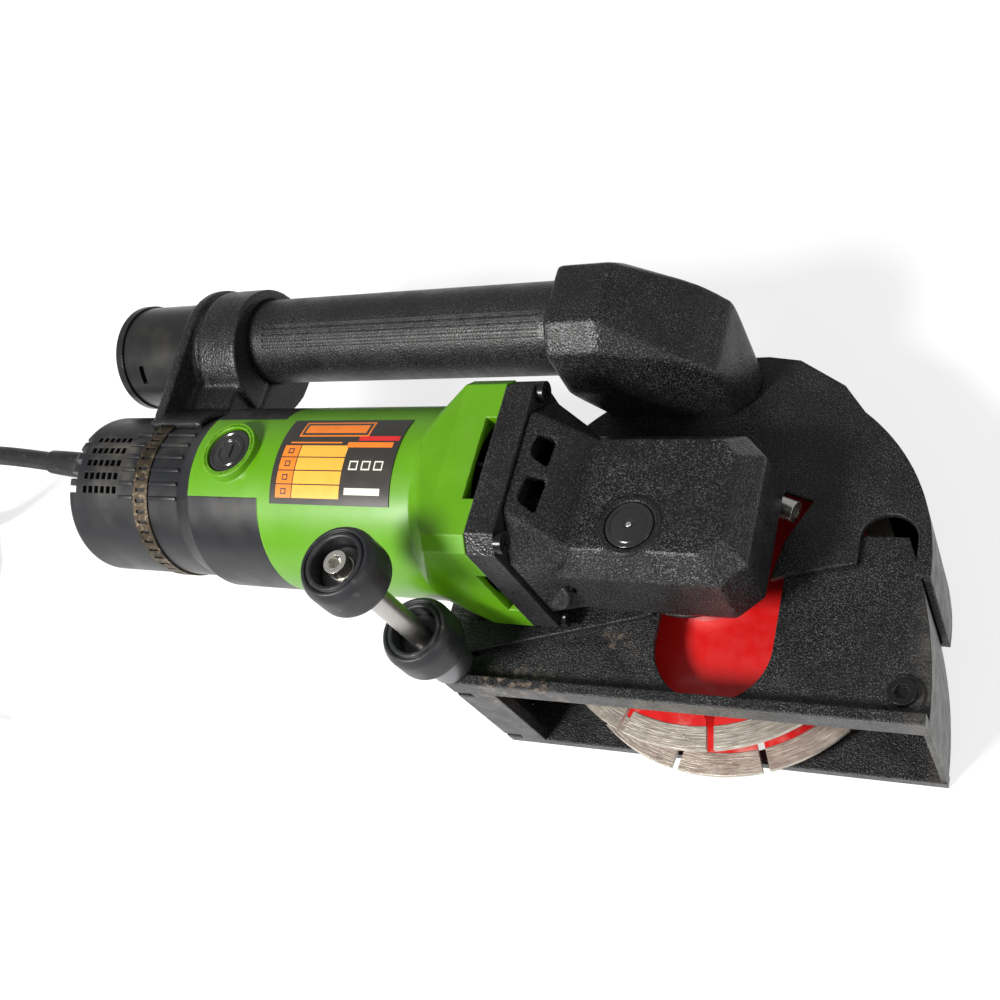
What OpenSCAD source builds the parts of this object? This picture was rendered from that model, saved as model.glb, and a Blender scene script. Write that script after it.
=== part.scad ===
// Wall chaser: twin diamond discs under a plunging guard, driven by a right-angle motor and gear head.
// The tool lies on the flat side of its guard. The origin is where the spindle axis meets that side.
// +Z runs up the spindle, +X along the motor towards the front, +Y towards the top handle.

/* [Discs] */
// Diameter of each diamond disc
disc_d = 150; // [140:1:152]
// Height of the near disc's upper face
disc_near_z = 49.6; // [44:0.1:50]
// Height of the far disc's upper face
disc_far_z = 16.1; // [14:0.1:22]
// Thickness of a disc's segmented rim
disc_rim_t = 2.4; // [2:0.1:2.6]
// Number of segments on a disc
segment_count = 12; // [8:1:16]

/* [Motor] */
// Height of the motor's axis above the rest face
motor_z = 107.5; // [107:0.1:109]
// Radius of the green motor housing
housing_r = 40.7; // [40:0.1:41]
// Radius of the rear cap
cap_r = 37; // [36.5:0.1:37.5]
// Half width of the square motor flange
flange_half = 38.5; // [38:0.1:38.6]

/* [Gears] */
// Gear module
gear_module = 1.25; // [1.25:0.05:1.25]
// Teeth on the spindle's bevel gear
gear_teeth = 39; // [39:1:39]
// Teeth on the motor's pinion
pinion_teeth = 11; // [11:1:11]

/* [Guard] */
// Width of the upper guard
guard_w = 68; // [68:0.5:69]
// Width of the shoe's sole
sole_w = 73.8; // [73:0.1:74]
// Thickness of the guard's side panels
panel_t = 2.5; // [2:0.1:2.6]
// Radius of the guard's outline about the spindle
guard_r = 90; // [89:0.5:91]

/* [Handle] */
// Height of the handle tube's axis
handle_z = 120; // [119:0.5:121]
// Distance of the handle tube's axis from the motor axis
handle_y = 79; // [78:0.5:80]
// Radius of the handle tube
handle_r = 20; // [19:0.5:20]

/* [Rollers] */
// Radius of the rubber rollers
roller_r = 15.5; // [14:0.5:15.5]
// Radius of the roller axle, which is also the hinge pin of the shoe
axle_r = 4.7; // [4.5:0.1:5]

/* [Lead] */
// Diameter of the mains lead
cord_d = 10; // [10:1:10]

/* [Hidden] */
$fn = 64;
fit = 0.05;                 // radial clearance of a running fit
gap = 0.4;                  // clearance between plates that slide past each other
disc_r = disc_d / 2;
disc_bore_r = 11.1;

// hinge of the shoe and its front arc
hinge = [-95.5, -58];
shoe_out_r = 189.9;
shoe_in_r = 187.9;
sole_tilt = 1.3;
near_panel_z = guard_w - panel_t;
shoe_near_top = near_panel_z - gap;
shoe_near_z = shoe_near_top - panel_t;
shoe_far_z = panel_t + gap;
shoe_far_top = shoe_far_z + panel_t;
ear_r = 8;
ear_t = 3.6;

// stations along the motor axis
cap_end_x = -284;
cap_front_x = -236;
sleeve_front_x = -167;
flange_back_x = -62;
plate_front_x = -50;

// gears
gear_r = gear_teeth * gear_module / 2;
pinion_r = pinion_teeth * gear_module / 2;
gear_z = motor_z - pinion_r;
face_w = 4.6;
cone_l = sqrt(gear_r * gear_r + pinion_r * pinion_r);
lock_xy = [-9.2, -13.8];
lock_r = norm(lock_xy);
lock_a = atan2(lock_xy[1], lock_xy[0]);

// ---- helpers

// A round bar along the motor axis
module bar_x(x0, x1, r) {
    translate([x0, 0, motor_z]) rotate([0, 90, 0]) cylinder(h = x1 - x0, r = r);
}

// A tube along the motor axis
module ring_x(x0, x1, r_out, r_in) {
    difference() {
        bar_x(x0, x1, r_out);
        bar_x(x0 - 1, x1 + 1, r_in);
    }
}

// A bar and a tube along the spindle
module bar_z(z0, z1, r, at = [0, 0]) {
    translate([at[0], at[1], z0]) cylinder(h = z1 - z0, r = r);
}

module ring_z(z0, z1, r_out, r_in, at = [0, 0]) {
    difference() {
        bar_z(z0, z1, r_out, at);
        bar_z(z0 - 1, z1 + 1, r_in, at);
    }
}

// A bar along X on the handle's axis
module handle_bar(x0, x1, r) {
    translate([x0, handle_y, handle_z]) rotate([0, 90, 0]) cylinder(h = x1 - x0, r = r);
}

// A square with cut corners, across the motor axis
module octagon_x(x0, x1, half, cut, z_mid = motor_z) {
    b = half - cut;
    translate([x0, 0, z_mid]) rotate([90, 0, 90]) linear_extrude(x1 - x0)
        polygon([[-half, -b], [-b, -half], [b, -half], [half, -b],
                 [half, b], [b, half], [-b, half], [-half, b]]);
}

// The four corners of a square across the motor axis
module square_of_four(half) {
    for (sy = [-1, 1], sz = [-1, 1]) translate([0, sy * half, motor_z + sz * half]) children();
}

// ---- guard

seam = [[-130, -48], [-92, -50], [-19.4, -28.4], [36.3, -6.2], [64.7, 1.1], [84, 3], [84.5, -3.5], [130, -3.5]];

// Outline of the upper guard, drawn in by e
module upper_outline(e) {
    difference() {
        union() {
            circle(r = guard_r - e);
            polygon([[-107 + e, -90], [-107 + e, 25 - 0.45 * e], [-55 + 0.66 * e, 71 - 0.75 * e], [0, 0]]);
            polygon([[-30 + e, 40], [-30 + e, 97 - e], [14, 97.5 - e], [28 - 0.3 * e, 95.2 - e],
                     [48.5 - 0.8 * e, 81.8 - 0.6 * e], [66 - e, 58], [40, 30]]);
        }
        polygon(concat(seam, [[130, -130], [-130, -130]]));
    }
}

// The opening that the spindle neck and its clamp stand in
module neck_opening() {
    circle(r = 23);
    polygon([[-14.5, -50], [-14.5, 0], [16, 14], [31, 31], [43, 27], [34, 8.4], [31, -6], [31, -50]]);
}

arch = [73.6, 11.3];
arch_r = 10.8;
wall_t = 3.4;
clamp_a = 70;
collar_r = 26.5;
collar_top = 74;

// One ear of the upper guard, which carries the hinge axle
module guard_ear(z0, z_out0, z_out1) {
    difference() {
        union() {
            bar_z(z0, z0 + ear_t, ear_r, hinge);
            translate([0, 0, z0]) linear_extrude(ear_t)
                polygon([[-103.5, -58], [-103.5, -41], [-92, -41], [-92, -47], [-88.5, -54]]);
            translate([0, 0, min(z0, z_out0)]) linear_extrude(z_out1 - min(z0, z_out0))
                polygon([[-107, -47], [-107, -40], [-92, -40], [-92, -46.5]]);
        }
        bar_z(z0 - 1, z0 + ear_t + 1, axle_r, hinge);
    }
}

module upper_guard() {
    color("dimgray") {
        difference() {
            linear_extrude(guard_w) upper_outline(0);
            translate([0, 0, panel_t]) linear_extrude(guard_w - 2 * panel_t) upper_outline(wall_t);
            // the cavity runs out through the seam
            translate([0, 0, panel_t]) linear_extrude(guard_w - 2 * panel_t)
                polygon([[-103.6, -60], [-103.6, -20], [85.5, 20], [85.5, -60]]);
            translate([0, 0, near_panel_z - 1]) linear_extrude(panel_t + 2) neck_opening();
            // arch that the shoe's tie bolt rises into
            bar_z(near_panel_z - 1, guard_w + 1, arch_r, arch);
            translate([arch[0] - arch_r, -20, near_panel_z - 1]) cube([2 * arch_r, 20 + arch[1], panel_t + 2]);
            // the shoe's front wall swings past the lower end of the guard's
            translate([0, 0, panel_t]) linear_extrude(guard_w - 2 * panel_t) intersection() {
                translate(hinge) circle(r = shoe_out_r + 0.6, $fn = 128);
                translate([60, -10]) square(40);
            }
            // relief under the motor and its flare
            bar_x(-200, -60, housing_r + 0.4);
            translate([-93, -36, guard_w - 1.4]) cube([15, 60, 3]);
            // port of the dust duct
            bar_z(near_panel_z - 1, guard_w + 1, 12.6, duct_xy);
        }
        guard_ear(shoe_near_z - gap - ear_t, near_panel_z, guard_w);
        guard_ear(shoe_far_top + gap, 0, shoe_far_top + gap + ear_t);
        // split collar that grips the neck of the gear head
        difference() {
            union() {
                bar_z(guard_w - 0.5, collar_top, collar_r);
                rotate([0, 0, clamp_a]) translate([24, -20, guard_w - 0.5]) cube([12, 26, collar_top - guard_w + 0.5]);
            }
            bar_z(guard_w - 2, collar_top + 1, 22);
            rotate([0, 0, clamp_a]) translate([18, -1.2, guard_w - 1]) cube([20, 2.4, 8]);
            clamp_bore(2.6);
        }
    }
}

clamp_r = 31.5;
clamp_z = 71.2;
// The line of the clamp screw, along the collar's tangent
module clamp_bore(r) {
    rotate([0, 0, clamp_a]) translate([clamp_r, 12, clamp_z]) rotate([90, 0, 0]) cylinder(h = 34, r = r);
}

module guard_clamp_screw() {
    color("silver") rotate([0, 0, clamp_a]) translate([clamp_r, 0, clamp_z]) {
        translate([0, 10, 0]) rotate([90, 0, 0]) cylinder(h = 30.1, r = 2.5);
        translate([0, -20, 0]) rotate([90, 0, 0]) difference() {
            cylinder(h = 8.5, r = 4.5);
            translate([0, 0, 5]) cylinder(h = 4, r = 2.3, $fn = 6);
        }
    }
}

// Height of the sole's underside at x
function sole_y(x) = -64.8 + x * tan(sole_tilt);
sole_h = 4.3;
// round end of the opening that the spindle neck passes down through
window = [11.5, -36.3];
window_r = 23.9;

// Side panel of the shoe
module shoe_outline() {
    difference() {
        intersection() {
            translate(hinge) circle(r = shoe_out_r, $fn = 128);
            polygon([[-97, sole_y(-97)], [110, sole_y(110)], [110, 13.6], [35, 13.6], [-12, -10], [-70, -33],
                     [-90, -52], [-95.5, -50], [-103, -55], [-103, -62]]);
        }
        translate(window) circle(r = window_r);
        translate([window[0] - window_r, window[1]]) square([2 * window_r, 80]);
    }
}

// Strip of the sole
module sole_outline() {
    intersection() {
        translate(hinge) circle(r = shoe_out_r, $fn = 128);
        polygon([[-97, sole_y(-97)], [110, sole_y(110)], [110, sole_y(110) + sole_h], [-97, sole_y(-97) + sole_h]]);
    }
}

module shoe() {
    color("dimgray") difference() {
        union() {
            translate([0, 0, shoe_near_z]) linear_extrude(panel_t) shoe_outline();
            translate([0, 0, shoe_far_z]) linear_extrude(panel_t) difference() {
                shoe_outline();
                circle(r = 24);
            }
            translate([0, 0, shoe_near_z]) linear_extrude(sole_w - shoe_near_z) sole_outline();
            linear_extrude(shoe_far_top) sole_outline();
            // front wall, an arc about the hinge
            translate([0, 0, shoe_far_z]) linear_extrude(shoe_near_top - shoe_far_z) difference() {
                intersection() {
                    translate(hinge) circle(r = shoe_out_r, $fn = 128);
                    polygon([[60, 13], [110, 13], [110, sole_y(110) + 0.5], [60, sole_y(60) + 0.5]]);
                }
                translate(hinge) circle(r = shoe_in_r, $fn = 128);
            }
            // rear cross block
            translate([0, 0, shoe_far_z]) linear_extrude(shoe_near_top - shoe_far_z)
                polygon([[-97, sole_y(-97)], [-78, sole_y(-78)], [-79, -61], [-88, -51], [-95.5, -50], [-103, -55],
                         [-103, -62]]);
            bar_z(shoe_near_top - 0.5, shoe_near_top + 1.4, 7.5, bolt_xy);
        }
        bar_z(-1, 80, axle_r + fit, hinge);
        bar_z(shoe_near_z - 1, 80, 3, bolt_xy);
        // slots that the guard's ears stand in
        for (z = [shoe_near_z - 2 * gap - ear_t, shoe_far_top])
            translate([0, 0, z]) linear_extrude(ear_t + 2 * gap) {
                translate(hinge) circle(r = 11);
                polygon([[-110, -62], [-110, -40], [-80, -40], [-84.6, -60]]);
            }
    }
}

bolt_xy = [84.6, -49.7];

module shoe_nut() {
    color("silver") difference() {
        translate([bolt_xy[0], bolt_xy[1], shoe_near_z - 5]) cylinder(h = 5, r = 5.7, $fn = 6);
        bar_z(shoe_near_z - 6, shoe_near_z + 1, 3, bolt_xy);
    }
}

module shoe_bolt() {
    color("black") difference() {
        union() {
            bar_z(shoe_near_z - 7, shoe_near_top + 1.5, 3, bolt_xy);
            bar_z(shoe_near_top + 1.4, shoe_near_top + 4.4, 5, bolt_xy);
        }
        translate([bolt_xy[0], bolt_xy[1], shoe_near_top + 2.4]) cylinder(h = 3, r = 2.9, $fn = 6);
    }
}

// ---- rollers

far_roller_z = [90.2, 109.4];
near_roller_z = [152.2, 171.2];
sleeve_z = [collar_top + 0.2, 89.8];
hub_r = 9.6;

module hinge_axle() {
    color("silver") {
        bar_z(1, near_roller_z[0] - 2.2, axle_r, hinge);
        bar_z(near_roller_z[0] - 2.2, near_roller_z[1] - 7.4, 4, hinge);
    }
}

module axle_sleeve() {
    color("gray") ring_z(sleeve_z[0], sleeve_z[1], 9.5, axle_r, hinge);
}

module roller(z, bore) {
    h = z[1] - z[0];
    translate([hinge[0], hinge[1], z[0]]) rotate_extrude()
        polygon([[bore, 0], [roller_r - 2, 0], [roller_r, 2.4], [roller_r, h - 2.2], [roller_r - 1.4, h],
                 [hub_r, h], [hub_r, h - 7.6], [bore, h - 7.6]]);
}

module roller_far() {
    color("#202020") roller(far_roller_z, axle_r + fit);
}

module roller_near() {
    color("#202020") roller(near_roller_z, 4 + fit);
}

module roller_washers() {
    color("silver") {
        ring_z(far_roller_z[1] - 7.4, far_roller_z[1] - 6.2, 9, axle_r, hinge);
        ring_z(near_roller_z[0] - 2, near_roller_z[0] - 0.2, 9, 4, hinge);
    }
}

module roller_bolt() {
    color("silver") difference() {
        union() {
            bar_z(near_roller_z[1] - 7.4, near_roller_z[1] - 6.2, 8.5, hinge);
            bar_z(near_roller_z[1] - 6.2, near_roller_z[1] - 0.8, 4.6, hinge);
        }
        translate([hinge[0], hinge[1], near_roller_z[1] - 4.2]) cylinder(h = 5, r = 2.9, $fn = 6);
    }
}

// ---- gear head

duct_xy = [-9, 81];
case_half = 31.5;
case_top = 120;
neck_z = 76;

module flat_octagon(x0, x1, half, cut, h) {
    linear_extrude(h)
        polygon([[x0, -half + cut], [x0 + cut, -half], [x1 - cut, -half], [x1, -half + cut],
                 [x1, half - cut], [x1 - cut, half], [x0 + cut, half], [x0, half - cut]]);
}

module gear_case() {
    color("#2a2a2a") difference() {
        union() {
            hull() {
                translate([0, 0, neck_z]) flat_octagon(-46, 32, case_half - 2, 10, 1);
                translate([0, 0, neck_z + 6]) flat_octagon(-46, 34.5, case_half, 9, 28);
                translate([0, 0, case_top - 0.5]) flat_octagon(-40, 26, 24, 7, 0.5);
            }
            hull() {
                octagon_x(plate_front_x, plate_front_x + 1, 36.5, 15);
                translate([0, 0, neck_z + 4]) flat_octagon(-48, -30, case_half - 1, 6, case_top - neck_z - 6);
            }
            // boss of the lock button, and the plugged grease hole
            bar_z(case_top - 1, case_top + 1.2, 12.5, lock_xy);
            translate([-44, -22, neck_z + 12]) rotate([55, 0, -18]) cylinder(h = 14, r = 7);
        }
        // gear chamber, pinion chamber and bearing seats
        bar_z(neck_z - 1, motor_z + 4.4, gear_r + 2.2);
        bar_x(-51, -17, 9);
        bar_x(-51, -42, 25);
        bar_z(case_top - 13, case_top - 4, 6);
        bar_z(case_top - 6.2, case_top + 2, 9.9, lock_xy);
        bar_z(case_top - 14, case_top + 2, 2.2 + fit, lock_xy);
        translate([-37, -29, neck_z + 20]) rotate([55, 0, -18]) cylinder(h = 8, r = 2.2);
        // the boss ends at the flange plate
        translate([plate_front_x - 6, -60, neck_z - 1]) cube([6, 120, 60]);
        // the shoulder is hollow, with the exhaust vents in its slope
        hull() {
            octagon_x(plate_front_x - 1, plate_front_x, 32, 13);
            translate([0, 0, neck_z + 12]) flat_octagon(-46, -36, 24, 5, case_top - neck_z - 18);
        }
        for (v = [[3, 13], [-17, 15]])
            translate([-46, v[0], motor_z + 22]) rotate([0, 35, 0]) translate([-4, 0, -9])
                linear_extrude(30) polygon([[-3, 2], [5, 0], [6, v[1]], [-2, v[1] - 2]]);
    }
    // the roof under the lock button's recess, and the bush seat
    color("#2a2a2a") difference() {
        bar_z(case_top - 13.2, case_top - 3.9, 8.2);
        bar_z(case_top - 14, case_top - 4, 6);
        bar_z(case_top - 6.2, case_top, 9.9, lock_xy);
    }
}

module neck_flange() {
    color("#303030") difference() {
        union() {
            bar_z(collar_top + 0.2, neck_z, 30);
            bar_z(guard_w - 1.5, collar_top + 0.3, 21.95);
            bar_z(neck_z - 0.1, neck_z + 10.8, gear_r + 2.2);
        }
        bar_z(guard_w - 2.5, neck_z + 1, 9);
        bar_z(neck_z + 0.2, neck_z + 12, 17.5);
        for (a = [45 : 90 : 315]) rotate([0, 0, a]) bar_z(guard_w - 3, neck_z + 1, 2.1, [18.2, 0]);
    }
}

module neck_screws() {
    color("black") for (a = [45 : 90 : 315]) rotate([0, 0, a]) {
        bar_z(guard_w - 2.5, guard_w - 1.5, 3.2, [18.2, 0]);
        bar_z(guard_w - 1.6, neck_z, 2.05, [18.2, 0]);
    }
}

module flange_plate() {
    color("#1c1c1c") difference() {
        octagon_x(flange_back_x, plate_front_x, flange_half, 6);
        bar_x(flange_back_x - 1, plate_front_x + 1, 7);
        bar_x(flange_back_x - 1, plate_front_x - 2, 16);
        square_of_four(screw_half) translate([flange_back_x - 1, 0, 0]) rotate([0, 90, 0])
            cylinder(h = 20, r = 2.6);
    }
}

screw_half = 33;

module flange_screws() {
    color("silver") square_of_four(screw_half) {
        translate([flange_back_x - 10, 0, 0]) rotate([0, 90, 0]) cylinder(h = plate_front_x - flange_back_x + 10, r = 2.5);
        translate([plate_front_x, 0, 0]) rotate([0, 90, 0]) difference() {
            cylinder(h = 3, r = 4.3);
            translate([-3, -0.6, 1.8]) cube([6, 1.2, 3]);
            translate([-0.6, -3, 1.8]) cube([1.2, 6, 3]);
        }
    }
}

// ---- spindle and gears

module spindle() {
    color("silver") {
        bar_z(7, 13.8, 7);
        bar_z(13.7, disc_near_z, disc_bore_r - 0.1);
        bar_z(disc_near_z, 64, 10);
        bar_z(63.9, 88.2, 7.5);
        bar_z(88.1, gear_z - 2.4, 6.5);
        bar_z(gear_z - 2.5, case_top - 4.5, 4);
    }
}

// A sealed ball bearing on the z axis: two races with the seals set back between them
module ball_bearing(width, r_out, r_in) {
    race = (r_out - r_in) * 0.28;
    difference() {
        cylinder(h = width, r = r_out);
        translate([0, 0, -1]) cylinder(h = width + 2, r = r_in + fit);
        for (z = [-1, width - 0.6]) translate([0, 0, z]) difference() {
            cylinder(h = 1.6, r = r_out - race);
            translate([0, 0, -1]) cylinder(h = 4, r = r_in + race);
        }
    }
}

module spindle_bearing() {
    color("silver") translate([0, 0, neck_z + 0.2]) ball_bearing(10.6, 17.5, 7.5);
}

module spindle_bush() {
    color("#b08040") ring_z(case_top - 12.5, case_top - 4, 6, 4 + fit);
}

tooth_scale = (cone_l - face_w) / cone_l;

// A straight bevel tooth as a prism along the pitch cone, sized at its small end
module tooth() {
    linear_extrude(face_w) polygon([[-1.5, -0.95], [0, -0.62], [0.8, -0.32], [0.8, 0.32], [0, 0.62], [-1.5, 0.95]]);
}

module bevel_gear() {
    pitch_a = atan2(pinion_r, gear_r);
    color("#8a8a86") difference() {
        union() {
            translate([0, 0, gear_z]) rotate_extrude()
                polygon([[0, -12.4], [10, -12.4], [10, -9], [gear_r + 0.6, -9], [gear_r + 0.6, -2.2], [gear_r - 0.3, -1.1],
                         [gear_r - face_w * cos(pitch_a), -1.1 + face_w * sin(pitch_a)], [gear_r - face_w - 1, -2.4],
                         [0, -2.4]]);
            for (i = [0 : gear_teeth - 1]) rotate([0, 0, i * 360 / gear_teeth])
                translate([gear_r, 0, gear_z]) rotate([0, -90 + pitch_a, 0]) tooth();
        }
        bar_z(gear_z - 13, gear_z + 2, 6.5);
        for (i = [0 : 3]) rotate([0, 0, lock_a + i * 90]) bar_z(gear_z - 10, gear_z, 2.8, [lock_r, 0]);
    }
}

module gear_nut() {
    color("silver") ring_z(gear_z - 2.4, gear_z, 8, 4);
}

module pinion() {
    pitch_a = atan2(gear_r, pinion_r);
    color("#8a8a86") translate([0, 0, motor_z]) rotate([0, 90, 0]) difference() {
        union() {
            translate([0, 0, -gear_r]) rotate_extrude()
                polygon([[0, -6], [pinion_r - 0.2, -6], [pinion_r - 1.1, 0],
                         [pinion_r * tooth_scale - 1.0, face_w * sin(pitch_a)], [0, face_w * sin(pitch_a)]]);
            for (i = [0 : pinion_teeth - 1]) rotate([0, 0, i * 360 / pinion_teeth])
                translate([pinion_r, 0, -gear_r]) rotate([0, -90 + pitch_a, 0]) tooth();
        }
        translate([0, 0, -gear_r - 7]) cylinder(h = 14, r = 3.5);
    }
}

module inner_flange() {
    color("silver") ring_z(disc_near_z, disc_near_z + 6, 20.5, 10);
}

module disc_spacer() {
    color("silver") ring_z(disc_far_z, disc_near_z - disc_rim_t, 19, disc_bore_r - 0.1);
}

// One diamond disc: a red core and a slotted rim, upper face at z
module disc(z) {
    slot_w = 3;
    difference() {
        union() {
            ring_z(z - disc_rim_t + 0.3, z - 0.3, disc_r - 9, disc_bore_r);
            ring_z(z - disc_rim_t, z, disc_r, disc_r - 9.5);
            ring_z(z - disc_rim_t, z, 21, disc_bore_r);
        }
        for (i = [0 : segment_count - 1]) rotate([0, 0, i * 360 / segment_count]) {
            translate([disc_r - 14, -slot_w / 2, z - 5]) cube([20, slot_w, 10]);
            bar_z(z - 5, z + 5, 2.2, [disc_r - 14, 0]);
        }
    }
}

module disc_near() { color("red") rotate([0, 0, 10]) disc(disc_near_z); }

module disc_far() { color("red") rotate([0, 0, 21]) disc(disc_far_z); }

module disc_nut() {
    color("silver") difference() {
        bar_z(7.2, disc_far_z - disc_rim_t, 20);
        bar_z(6, disc_far_z, 7);
        for (a = [0, 180]) rotate([0, 0, a]) bar_z(6, 11, 2.3, [13, 0]);
    }
}

module lock_button() {
    color("black") difference() {
        union() {
            translate([lock_xy[0], lock_xy[1], case_top - 0.9]) cylinder(h = 2, r = 9.5);
            translate([lock_xy[0], lock_xy[1], case_top + 1.1]) cylinder(h = 1.3, r1 = 9.5, r2 = 1.6);
            bar_z(gear_z - 0.9, case_top, 2.2, lock_xy);
        }
        ring_z(case_top - 2, case_top + 0.6, 5.4, 2.2, lock_xy);
    }
}

module lock_spring() {
    color("silver") ring_z(case_top - 6.2, case_top + 0.6, 4.6, 3.4, lock_xy);
}

// ---- motor

// A wedge about the motor axis, between two angles from +Z towards +Y
module wedge_x(x0, x1, a0, a1) {
    r = 90;
    translate([x0, 0, motor_z]) rotate([90, 0, 90]) linear_extrude(x1 - x0)
        polygon([[0, 0], [r * sin(a0), r * cos(a0)], [r * sin((a0 + a1) / 2), r * cos((a0 + a1) / 2)] * 1.2,
                 [r * sin(a1), r * cos(a1)]]);
}

housing_in = 36;
sleeve_in = 34.5;
tongue_x = -205;
tongue_a = [-28, 29];
switch_xy = [-185, -0.2];
button_r = 10.8;
boss_top = 151;
boss_r = 13.2;

module motor_housing() {
    color("#6fb500") difference() {
        union() {
            bar_x(sleeve_front_x, -91, housing_r);
            hull() {
                bar_x(-92, -91, housing_r, $fn = 48);
                octagon_x(-80.5, -80, flange_half, 5);
            }
            octagon_x(-80.5, flange_back_x, flange_half, 5);
            intersection() {
                bar_x(tongue_x, sleeve_front_x + 1, housing_r);
                wedge_x(tongue_x, sleeve_front_x + 1, tongue_a[0], tongue_a[1]);
            }
            bar_z(motor_z + 33, boss_top, boss_r, switch_xy);
        }
        bar_x(tongue_x - 10, flange_back_x + 1, housing_in);
        bar_z(motor_z + 20, boss_top + 1, button_r + fit, switch_xy);
        square_of_four(screw_half) translate([flange_back_x - 10, 0, 0]) rotate([0, 90, 0]) cylinder(h = 12, r = 2.5);
        // outlets for the cooling air
        for (s = [-1, 1]) {
            translate([flange_back_x - 5, -18, motor_z + s * 36 - 6]) cube([6, 36, 12]);
            translate([flange_back_x - 5, s * 36 - 6, motor_z - 18]) cube([6, 12, 32]);
        }
    }
}

module rear_sleeve() {
    color("#1e1e20") difference() {
        union() {
            difference() {
                union() {
                    bar_x(-205, sleeve_front_x, housing_r);
                    translate([-215, 0, motor_z]) rotate([0, 90, 0]) cylinder(h = 10, r1 = cap_r, r2 = housing_r);
                    bar_x(cap_front_x, -215, cap_r);
                }
                bar_x(cap_front_x - 1, sleeve_front_x + 1, sleeve_in);
                wedge_x(tongue_x, sleeve_front_x + 1, tongue_a[0], tongue_a[1]);
                bar_z(motor_z + 20, boss_top + 1, boss_r, switch_xy);
            }
            // spider that holds the rear bearing
            difference() {
                union() {
                    ring_x(-229, -226, sleeve_in + 0.5, 8);
                    ring_x(-229, -219, 14, 8);
                }
                for (a = [0 : 60 : 300]) translate([-230, 0, motor_z]) rotate([a, 0, 0])
                    translate([0, 18, -5]) cube([6, 13, 10]);
            }
        }
        bar_x(-226, -218, 11);
    }
}

slot_rows = 5;
slot_pitch_a = 9.9;
slot_first_a = 14;

module rear_cap() {
    color("#1e1e20") difference() {
        union() {
            bar_x(cap_end_x + 5, cap_front_x, cap_r);
            translate([cap_end_x + 5, 0, motor_z]) rotate([0, -90, 0]) rotate_extrude() {
                square([cap_r - 5, 5]);
                intersection() {
                    translate([cap_r - 5, 0]) circle(r = 5);
                    translate([cap_r - 5, 0]) square(5);
                }
            }
        }
        bar_x(cap_end_x + 3, cap_front_x + 1, cap_r - 3);
        // air inlets: rows of slots, each with a notch over the rounded end
        for (side = [0, 180], i = [0 : slot_rows - 1])
            translate([0, 0, motor_z]) rotate([side - slot_first_a + i * slot_pitch_a, 0, 0]) {
                for (j = [0 : 5]) translate([-272.8 + 3.7 * j, -1.6, 25]) cube([2.5, 3.2, 20]);
                translate([cap_end_x - 1, -1.6, 25]) cube([8, 3.2, 20]);
            }
        translate([cap_end_x - 1, lead_y, motor_z]) rotate([0, 90, 0]) cylinder(h = 6, r = 7);
    }
}

module front_bearing() {
    color("silver") translate([flange_back_x, 0, motor_z]) rotate([0, 90, 0]) ball_bearing(10, 16, 6);
}

module rear_bearing() {
    color("silver") translate([-226, 0, motor_z]) rotate([0, 90, 0]) ball_bearing(7, 11, 4);
}

module armature_shaft() {
    color("silver") {
        bar_x(-228, -218.9, 4);
        bar_x(-219, -51, 6);
        bar_x(-51.1, -30.9, 5);
        bar_x(-31, -19.5, 3.5);
    }
}

module armature_core() {
    color("#707478") difference() {
        ring_x(-158, -97, 20.8, 6);
        for (a = [0 : 30 : 330]) translate([-159, 0, motor_z]) rotate([a, 0, 0]) translate([0, -1, 18]) cube([63, 2, 5]);
    }
}

module armature_winding() {
    color("#b06030") {
        ring_x(-170, -158, 18, 6);
        ring_x(-97, -85, 18, 6);
    }
}

module commutator() {
    color("#b87333") difference() {
        ring_x(-205, -182, 13, 6);
        for (a = [0 : 15 : 345]) translate([-206, 0, motor_z]) rotate([a, 0, 0]) translate([0, -0.3, 12]) cube([21, 0.6, 2]);
    }
}

fan_r = 34;
module cooling_fan() {
    color("#303030") {
        ring_x(-78, -65, 10, 6);
        ring_x(-78, -76, fan_r, 9);
        for (a = [0 : 30 : 330]) translate([-76.5, 0, motor_z]) rotate([a, 0, 0]) translate([0, -0.8, 9])
            cube([11, 1.6, fan_r - 9.5]);
    }
}

module stator_core() {
    color("#707478") ring_x(-160, -95, housing_in, 21.3);
}

module field_coils() {
    color("#a05a2c") for (x = [-171, -95], s = [0, 180]) intersection() {
        ring_x(x, x + 11, 33, 22.5);
        translate([0, 0, motor_z]) rotate([s, 0, 0]) translate([x - 1, -26, 0]) cube([13, 52, 40]);
    }
}

brush_x = -194;
module both_brushes() {
    for (s = [0, 180]) translate([brush_x, 0, motor_z]) rotate([s, 0, 0]) children();
}

module brush_holders() {
    color("#c8a050") both_brushes() difference() {
        translate([-6, 16, -5]) cube([12, 18, 10]);
        translate([-4, 15, -3.2]) cube([8, 17, 6.4]);
    }
}

module carbon_brushes() {
    color("#303438") both_brushes() translate([-4, 13.4, -3.2]) cube([8, 12, 6.4]);
}

module brush_springs() {
    color("silver") both_brushes() translate([0, 25.4, 0]) rotate([-90, 0, 0]) difference() {
        cylinder(h = 6.6, r = 2.8);
        translate([0, 0, -1]) cylinder(h = 9, r = 2);
    }
}

switch_top = motor_z + 29.8;

module switch_body() {
    color("#202020") translate([switch_xy[0] - 11, switch_xy[1] - 9, motor_z + 17]) cube([22, 18, switch_top - motor_z - 17]);
}

module switch_button() {
    color("#181818") difference() {
        bar_z(switch_top + 3.4, boss_top - 0.6, button_r, switch_xy);
        bar_z(switch_top + 3, switch_top + 6, 6, switch_xy);
        // a raised bar between two sunk fields
        translate([switch_xy[0], switch_xy[1], boss_top - 1.4]) difference() {
            cylinder(h = 2, r = 8);
            translate([-1.2, -5, -1]) cube([2.4, 10, 4]);
        }
    }
}

module switch_spring() {
    color("silver") ring_z(switch_top, switch_top + 6, 4.8, 3.6, switch_xy);
}

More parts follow.
